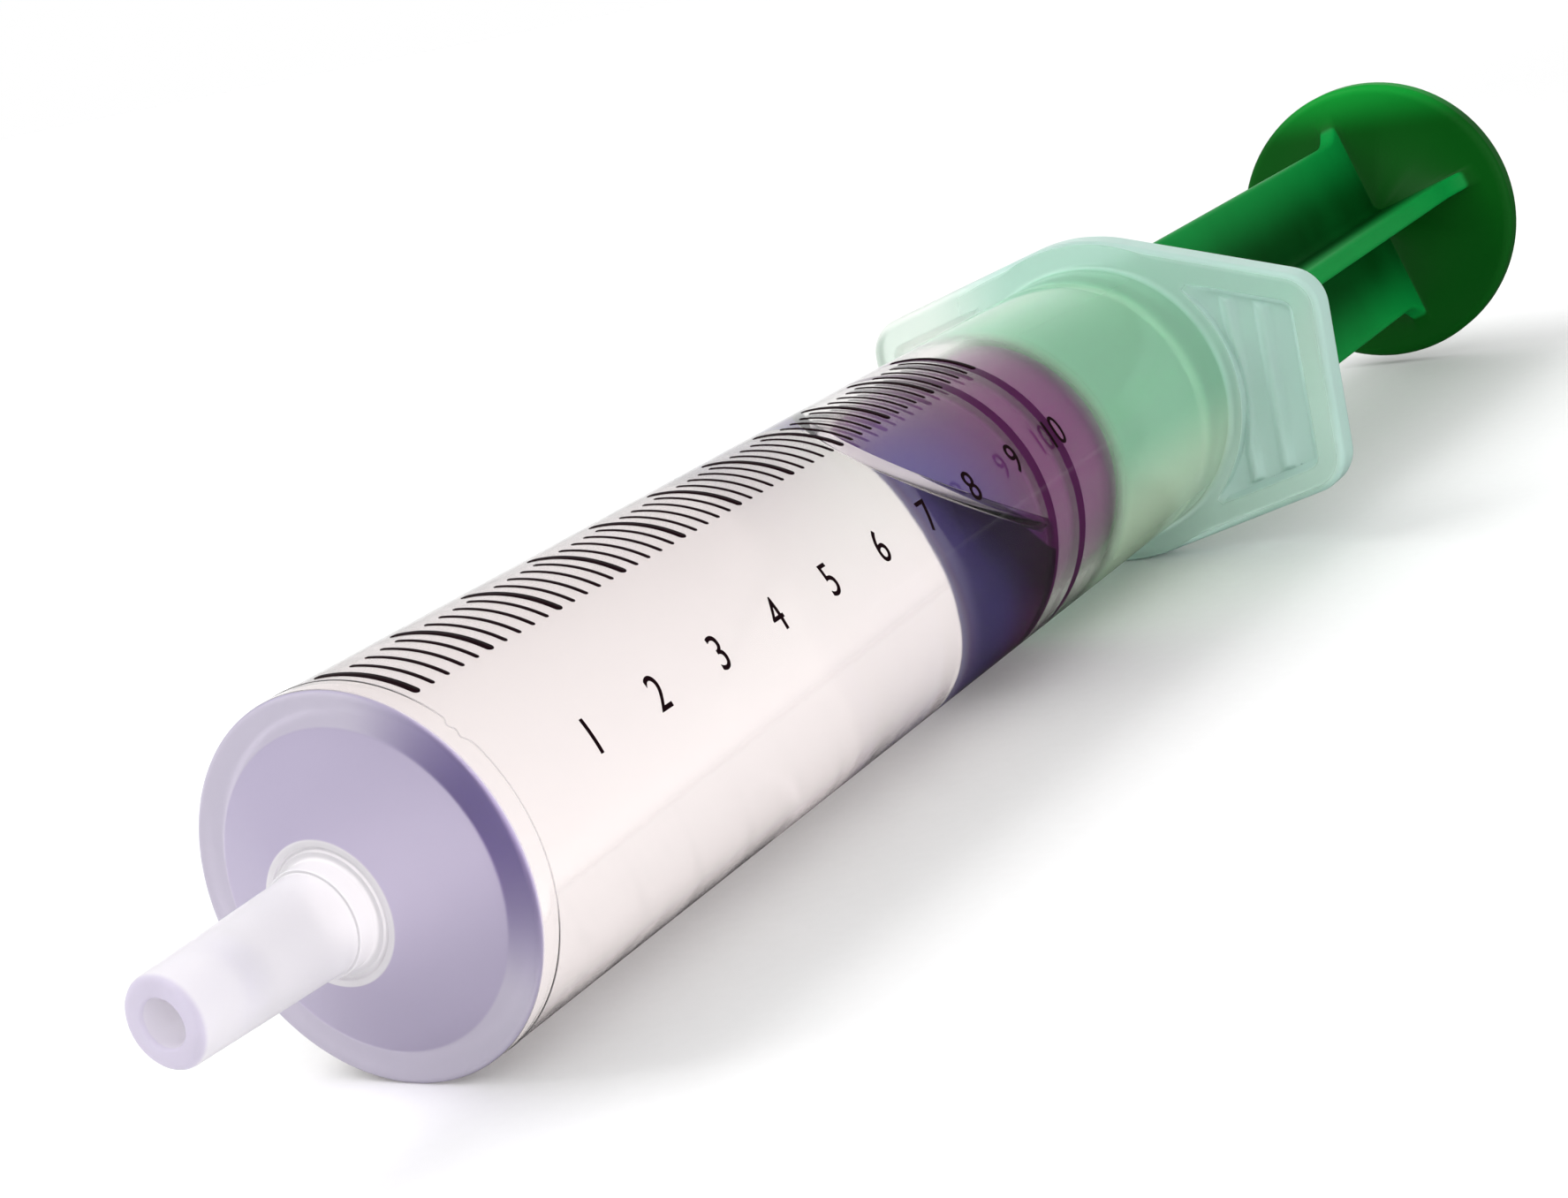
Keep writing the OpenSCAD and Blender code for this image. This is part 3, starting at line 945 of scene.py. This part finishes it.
def rodRings():
    s, r = rodSizes, rodSizes["rounding"]

    def finRing(x, grow):
        return lambda angle: (x, finRadius(angle - finStart, s["finReach"] + grow))

    stud = roundedOutline([
        (s["studFront"], s["axisRadius"], 0),
        (s["studFront"], s["studEnd"], r["stud"]),
        (s["studFront"] + s["studSlope"], s["head"], r["head"]),
        (s["headBack"], s["head"], r["stud"]),
        (s["headBack"], s["neck"], r["neck"]),
        (s["discFront"], s["neck"], r["neck"]),
        (s["discFront"], s["disc"], r["disc"]),
        (s["discBack"], s["disc"], r["disc"]),
        (s["discBack"], s["disc"] - s["discRim"], 0),
    ])
    fins = [finRing(s["discBack"], 0.0), finRing(s["discBack"] + s["finFoot"], 0.0)]
    for k in range(s["flareSteps"] + 1):
        t = k / s["flareSteps"]
        fins.append(finRing(s["thumbFront"] - s["flareLength"] * (1 - t), s["flare"] * t ** 3))
    dish, slope = s["back"] - s["dishDepth"], s["dishRingSlope"]
    crest = dish + s["dishRingHeight"]
    dishRings = []
    for k in range(s["dishRings"], 0, -1):
        middle, half = s["rim"] / (s["dishRings"] + 1) * k, s["dishRingWidth"] / 2
        dishRings += [(dish, middle + half, r["ringFoot"]), (crest, middle + half - slope, r["ringTop"]),
                      (crest, middle - half + slope, r["ringTop"]), (dish, middle - half, r["ringFoot"])]
    thumb = roundedOutline([
        (s["thumbFront"], s["thumbRadius"] - s["thumbStart"], 0),
        (s["thumbFront"], s["thumbRadius"], r["thumb"]),
        (s["back"], s["thumbRadius"], r["thumb"]),
        (s["back"], s["rim"], r["rim"]),
        (dish, s["rim"] - s["rimSlope"], r["dish"]),
        *dishRings,
        (dish, s["axisRadius"], 0),
    ])
    return roundRings(stud) + fins + roundRings(thumb)


# The printed scale, made by geometry nodes: one curved ink line for each mark. Its angles are from the top.
scaleSizes = {
    "zero": 14.38,
    "pitch": 5.22,
    "divisions": 5,
    "millilitres": 10,
    "wholeWidth": 0.44,
    "partWidth": 0.24,
    "ink": 0.03,
    "evenEnd": 26.5,
    "partEnd": -1.7,
    "wholeEnd": -8.7,
    "endScale": 0.3,
    "arcPoints": 90,
}


def scaleTree(ink):
    tree = bpy.data.node_groups.new("scaleLines", "GeometryNodeTree")
    tree.interface.new_socket("Geometry", in_out="OUTPUT", socket_type="NodeSocketGeometry")
    for name in ("Radius", "Zero", "Pitch", "Width", "From", "To", "Ink"):
        tree.interface.new_socket(name, in_out="INPUT", socket_type="NodeSocketFloat")
    for name in ("Count", "Skip"):
        tree.interface.new_socket(name, in_out="INPUT", socket_type="NodeSocketInt")
    given = addNode(tree, "NodeGroupInput").outputs
    # One point for each mark along the barrel.
    start = addNode(tree, "ShaderNodeCombineXYZ", X=given["Zero"]).outputs[0]
    step = addNode(tree, "ShaderNodeCombineXYZ", X=given["Pitch"]).outputs[0]
    marks = addNode(tree, "GeometryNodeMeshLine", Count=given["Count"], Start_Location=start, Offset=step)
    # An arc from the line's even end to its other end, swept with a flat rectangle of ink.
    sweep = addNode(tree, "ShaderNodeMath", minus, _0=given["To"], _1=given["From"]).outputs[0]
    arc = addNode(tree, "GeometryNodeCurveArc", {"mode": "RADIUS"}, Resolution=scaleSizes["arcPoints"],
                  Radius=given["Radius"], Start_Angle=given["From"], Sweep_Angle=sweep)
    section = addNode(tree, "GeometryNodeCurvePrimitiveQuadrilateral", {"mode": "RECTANGLE"},
                      Width=given["Ink"], Height=given["Width"])
    # The section shrinks toward both ends of the arc, as a half circle does, which rounds them.
    along = addNode(tree, "GeometryNodeSplineParameter").outputs["Factor"]
    centred = addNode(tree, "ShaderNodeMath", {"operation": "MULTIPLY_ADD"}, _0=along, _1=2, _2=-1).outputs[0]
    fromMiddle = addNode(tree, "ShaderNodeMath", {"operation": "ABSOLUTE"}, _0=centred).outputs[0]
    toEnd = addNode(tree, "ShaderNodeMath", minus, _0=1, _1=fromMiddle).outputs[0]
    length = addNode(tree, "ShaderNodeMath", times, _0=sweep, _1=given["Radius"]).outputs[0]
    ratio = addNode(tree, "ShaderNodeMath", {"operation": "DIVIDE"}, _0=length, _1=given["Width"]).outputs[0]
    ratio = addNode(tree, "ShaderNodeMath", {"operation": "ABSOLUTE"}, _0=ratio).outputs[0]
    share = addNode(tree, "ShaderNodeMath", {**times, "use_clamp": True}, _0=toEnd, _1=ratio).outputs[0]
    rest = addNode(tree, "ShaderNodeMath", minus, _0=2, _1=share).outputs[0]
    square = addNode(tree, "ShaderNodeMath", times, _0=share, _1=rest).outputs[0]
    root = addNode(tree, "ShaderNodeMath", {"operation": "SQRT"}, _0=square).outputs[0]
    scale = addNode(tree, "ShaderNodeMath", {"operation": "MAXIMUM"}, _0=root, _1=scaleSizes["endScale"])
    strip = addNode(tree, "GeometryNodeCurveToMesh", Curve=arc.outputs[0], Profile_Curve=section.outputs[0],
                    Scale=scale.outputs[0], Fill_Caps=True)
    turned = addNode(tree, "GeometryNodeTransform", Geometry=strip.outputs[0], Rotation=(pi / 2, 0, pi / 2))
    # Every mark but each whole one, or every mark where Skip is 0.
    index = addNode(tree, "GeometryNodeInputIndex").outputs[0]
    rest = addNode(tree, "ShaderNodeMath", {"operation": "MODULO"}, _0=index, _1=given["Skip"]).outputs[0]
    between = addNode(tree, "FunctionNodeCompare", {"data_type": "FLOAT", "operation": "GREATER_THAN"},
                      _0=rest, _1=0.5).outputs[0]
    every = addNode(tree, "FunctionNodeCompare", {"data_type": "INT", "operation": "EQUAL"},
                    _2=given["Skip"], _3=0).outputs[0]
    pick = addNode(tree, "FunctionNodeBooleanMath", {"operation": "OR"}, _0=between, _1=every).outputs[0]
    placed = addNode(tree, "GeometryNodeInstanceOnPoints", Points=marks.outputs[0], Selection=pick,
                     Instance=turned.outputs[0])
    real = addNode(tree, "GeometryNodeRealizeInstances", Geometry=placed.outputs[0])
    inked = addNode(tree, "GeometryNodeSetMaterial", Geometry=real.outputs[0], Material=ink)
    addNode(tree, "NodeGroupOutput", Geometry=inked.outputs[0])
    return tree


def meshFromTree(name, tree, inputs):
    holder = addToScene(name, bpy.data.meshes.new(name))
    modifier = holder.modifiers.new("nodes", "NODES")
    modifier.node_group = tree
    for item in tree.interface.items_tree:
        if item.in_out == "INPUT" and item.name in inputs:
            modifier[item.identifier] = inputs[item.name]
    graph = bpy.context.evaluated_depsgraph_get()
    mesh = bpy.data.meshes.new_from_object(holder.evaluated_get(graph))
    holder.modifiers.clear()
    holder.data = mesh
    return holder


def joinMeshes(pieces, name):
    for other in bpy.context.selected_objects:
        other.select_set(False)
    for piece in pieces:
        piece.select_set(True)
    bpy.context.view_layer.objects.active = pieces[0]
    bpy.ops.object.join()
    pieces[0].name = name
    pieces[0].select_set(False)
    return pieces[0]


def makeScale(ink):
    s = scaleSizes
    tree = scaleTree(ink)
    shared = {"Radius": (barrelSizes["radius"] + s["ink"] / 2) * mm, "Zero": s["zero"] * mm,
              "Ink": s["ink"] * mm, "From": radians(90 + s["evenEnd"])}
    whole = meshFromTree("wholeLines", tree, {
        **shared, "To": radians(90 + s["wholeEnd"]), "Pitch": s["pitch"] * mm,
        "Width": s["wholeWidth"] * mm, "Count": s["millilitres"] + 1, "Skip": 0})
    part = meshFromTree("partLines", tree, {
        **shared, "To": radians(90 + s["partEnd"]), "Pitch": s["pitch"] / s["divisions"] * mm,
        "Width": s["partWidth"] * mm, "Count": s["millilitres"] * s["divisions"] + 1, "Skip": s["divisions"]})
    numerals = [makeNumeral(value, ink) for value in range(1, s["millilitres"] + 1)]
    return joinMeshes([whole, part, *numerals], "scaleLines")


# Plain numbers of the millilitres, set along the barrel beside the scale and wrapped round it.
numeralSizes = {
    "size": 2.5,
    "narrow": 0.82,
    "middle": 25.5,
    "slices": 12,
    "sliceStep": 0.2,
    "weld": 0.001,
}


def makeNumeral(value, ink):
    n = numeralSizes
    text = bpy.data.curves.new("numeral", "FONT")
    text.body = str(value)
    text.align_x = text.align_y = "CENTER"
    text.size = n["size"]
    text.extrude = scaleSizes["ink"] / 2
    piece = addToScene("numeral", text)
    mesh = bpy.data.meshes.new_from_object(piece.evaluated_get(bpy.context.evaluated_depsgraph_get()))
    bpy.data.objects.remove(piece)
    body = bmesh.new()
    body.from_mesh(mesh)
    bmesh.ops.remove_doubles(body, verts=body.verts, dist=n["weld"])
    # Slices across the figure, so that it bends with the barrel.
    for k in range(-n["slices"] // 2, n["slices"] // 2 + 1):
        bmesh.ops.bisect_plane(body, geom=body.verts[:] + body.edges[:] + body.faces[:],
                               plane_co=(0, k * n["sliceStep"], 0), plane_no=(0, 1, 0))
    bmesh.ops.triangulate(body, faces=body.faces)
    along = scaleSizes["zero"] + value * scaleSizes["pitch"]
    for point in body.verts:
        radius = barrelSizes["radius"] + scaleSizes["ink"] / 2 + point.co.z
        angle = radians(n["middle"]) + point.co.y / barrelSizes["radius"]
        point.co = Vector((along + point.co.x * n["narrow"], -radius * cos(angle), radius * sin(angle))) * mm
    body.to_mesh(mesh)
    body.free()
    mesh.materials.clear()
    mesh.materials.append(ink)
    return addToScene("numeral", mesh)


# Studio: a white sweep, soft lamps and a white world.
studio = {
    "paper": ("#f7f7f7", "#fbfbfb"),
    "paperGrain": 0.8,
    "paperRoughness": 0.9,
    "floorTilt": 1.25,
    "floorAt": (12.65, -8.8),
    "floorSize": 6000,
    "white": "#ffffff",
    "glowReach": (250, 700),
    "glow": 0.3,
    "worldStrength": 0.8,
    "worldThrough": 1.18,
    "glossWorld": 0.1,
    "glossFloor": "#404040",
    "glossAhead": (0.853, 0.474, -0.221),
    "glossTurn": (0.55, 0.9),
    "glossFar": (-4, 12),
    "lampAim": (60, 0, 0),
    "lamps": {
        "key": {"place": (-60, 300, 380), "size": 360, "watts": 1.6},
        "fill": {"place": (-300, -200, 260), "size": 300, "watts": 0.38},
        "side": {"place": (60, -420, 110), "size": 260, "watts": 0.42},
    },
}


# Whether a ray comes from the camera, or by way of gloss or a clear piece, and so shows the white background.
def seenShare(tree, light):
    seen = light["Is Camera Ray"]
    for way in ("Is Transmission Ray", "Is Glossy Ray"):
        seen = addNode(tree, "ShaderNodeMath", {"operation": "MAXIMUM"}, _0=seen, _1=light[way]).outputs[0]
    return seen


# How far a ray is one that the outside of a piece has thrown back. The photograph shows hardly any gloss, so
# such rays find a dimmer room on the photographer's side than those that come back from inside the clear
# pieces. Rays that only graze an edge go on past the syringe, where the room is bright.
def glossShare(tree, light):
    outside = addNode(tree, "ShaderNodeMath", {"operation": "LESS_THAN"}, _0=light["Transmission Depth"],
                      _1=0.5)
    return addNode(tree, "ShaderNodeMath", times, _0=light["Is Glossy Ray"], _1=outside.outputs[0]).outputs[0]


def makeFloor():
    s = studio
    material, tree = newMaterial("whitePaper")
    place, parts = placeInMm(tree)
    light = addNode(tree, "ShaderNodeLightPath").outputs
    near = addNode(tree, "ShaderNodeMapRange", softStep, Value=parts["Y"], _1=s["glossFar"][0],
                   _2=s["glossFar"][1], _3=1, _4=0).outputs[0]
    dimmed = addNode(tree, "ShaderNodeMath", times, _0=near, _1=glossShare(tree, light)).outputs[0]
    grain = addNode(tree, "ShaderNodeTexNoise", Vector=place, Scale=1 / s["paperGrain"]).outputs[0]
    shade = layered(tree, colour(s["paper"][0]), (grain, colour(s["paper"][1])),
                    (dimmed, colour(s["glossFloor"])))
    # Far from the syringe the paper is lit from behind, so that its edge melts into the white world.
    away = addNode(tree, "ShaderNodeVectorMath", {"operation": "LENGTH"}, _0=place).outputs["Value"]
    glow = addNode(tree, "ShaderNodeMapRange", softStep, Value=away, _1=s["glowReach"][0],
                   _2=s["glowReach"][1], _4=s["glow"]).outputs[0]
    lift = addNode(tree, "ShaderNodeMath", times, _0=seenShare(tree, light), _1=glow).outputs[0]
    shader = addNode(tree, "ShaderNodeBsdfPrincipled", Base_Color=shade, Roughness=s["paperRoughness"],
                     Emission_Color=colour(s["white"]), Emission_Strength=lift)
    finishMaterial(tree, shader)
    half = s["floorSize"] / 2 * mm
    corners = [(-half, -half, 0), (half, -half, 0), (half, half, 0), (-half, half, 0)]
    mesh = bpy.data.meshes.new("floor")
    mesh.from_pydata(corners, [], [(0, 1, 2, 3)])
    mesh.materials.append(material)
    floor = addToScene("floor", mesh)
    floor.location = (s["floorAt"][0] * mm, 0, s["floorAt"][1] * mm)
    floor.rotation_euler = (0, radians(s["floorTilt"]), 0)


def makeWorld():
    s = studio
    world = bpy.data.worlds.new("world")
    world.use_nodes = True
    scene.world = world
    tree = world.node_tree
    tree.nodes.clear()
    light = addNode(tree, "ShaderNodeLightPath").outputs
    strength = addNode(tree, "ShaderNodeMapRange", softStep, Value=seenShare(tree, light),
                       _3=s["worldStrength"]).outputs[0]
    strength = addNode(tree, "ShaderNodeMix", _0=light["Is Transmission Ray"], _2=strength,
                       _3=s["worldThrough"]).outputs[0]
    direction = addNode(tree, "ShaderNodeTexCoord").outputs["Generated"]
    ahead = addNode(tree, "ShaderNodeVectorMath", dotProduct, _0=direction,
                    _1=s["glossAhead"]).outputs["Value"]
    behind = addNode(tree, "ShaderNodeMapRange", softStep, Value=ahead, _1=s["glossTurn"][0],
                     _2=s["glossTurn"][1], _3=1, _4=0).outputs[0]
    dimmed = addNode(tree, "ShaderNodeMath", times, _0=behind, _1=glossShare(tree, light)).outputs[0]
    strength = addNode(tree, "ShaderNodeMix", _0=dimmed, _2=strength, _3=s["glossWorld"]).outputs[0]
    glow = addNode(tree, "ShaderNodeBackground", Color=colour(s["white"]), Strength=strength)
    addNode(tree, "ShaderNodeOutputWorld", Surface=glow.outputs[0])


def addLamps():
    for name, lamp in studio["lamps"].items():
        data = bpy.data.lights.new(name, "AREA")
        data.shape = "SQUARE"
        data.size = lamp["size"] * mm
        data.energy = lamp["watts"]
        holder = addToScene(name, data)
        holder.location = Vector(lamp["place"]) * mm
        aim = Vector(studio["lampAim"]) * mm - holder.location
        holder.rotation_euler = aim.to_track_quat("-Z", "Y").to_euler()


# The bore's faces under the fluid's surface get the wetted look.
def makeBarrel(clear, wetted):
    s = barrelSizes
    rings, marks = barrelRings()
    piece = skin("clearBarrel", rings, evenAngles(s["segments"]), clear, closed=True, marks=marks)
    piece.data.materials.append(wetted)
    for face in piece.data.polygons:
        middle, normal = face.center / mm, face.normal
        inBore = hypot(middle.y, middle.z) < s["boreRadius"] + s["slack"]
        if inBore and s["tipLength"] < middle.x < stopperSizes["firstSeal"]:
            inward = normal.y * middle.y + normal.z * middle.z < 0
            face.material_index = int(inward and middle.dot(levelUp) < fluidSizes["levelHeight"])
    return piece


# The free surface has a look of its own, and sharp edges where it meets the wall.
def makeFill(fluid, surface):
    f, rings = fluidSizes, fluidRings()
    piece = skin("fluidFill", rings, evenAngles(f["segments"]), fluid)
    piece.data.materials.append(surface)
    for face in piece.data.polygons:
        middle = face.center / mm
        free = middle.x < fluidRear(hypot(middle.y, middle.z))[1] - f["surfaceInset"]
        face.material_index = int(free and face.normal.x > f["surfaceFacing"])
    piece.data.set_sharp_from_angle(angle=radians(f["sharpAngle"]))
    rim = (len(rings) - 1 - len(f["radii"])) * f["segments"]
    for edge in piece.data.edges:
        if all(rim <= corner < rim + f["segments"] for corner in edge.vertices):
            edge.use_edge_sharp = True
    return piece


addCamera()
makeWorld()
addLamps()
makeFloor()
print("stage: camera, light and floor")

clear = makeClearPlastic("clearPolypropylene", clearPlastic["sheen"])
wetted = makeClearPlastic("wettedPolypropylene", 0)
fluid, fluidSurface = makeFluid("glycerineAtWall", 0), makeFluid("glycerineSurface", 1)
rubber, green, ink = makeRubber(), makeGreen(), makeInk()

barrel = makeBarrel(clear, wetted)
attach(barrel, "barrel")
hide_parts("barrel")
print("stage: barrel", len(barrel.data.polygons))

stopper = skin("rubberStopper", stopperRings(), evenAngles(stopperSizes["segments"]), rubber)
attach(stopper, "stopper")
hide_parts("stopper")
print("stage: stopper", len(stopper.data.polygons))

fill = makeFill(fluid, fluidSurface)
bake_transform(fill)
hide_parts("fluid_fill")
print("stage: fluid", len(fill.data.polygons))

rod = skin("plungerRod", rodRings(), rodAngles(), green)
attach(rod, "plunger")
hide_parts("plunger_rod")
print("stage: plunger rod", len(rod.data.polygons))

scaleLines = makeScale(ink)
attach(scaleLines, "barrel")
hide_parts("scale_marks")
print("stage: scale", len(scaleLines.data.polygons))

scene.view_settings.view_transform = "Standard"
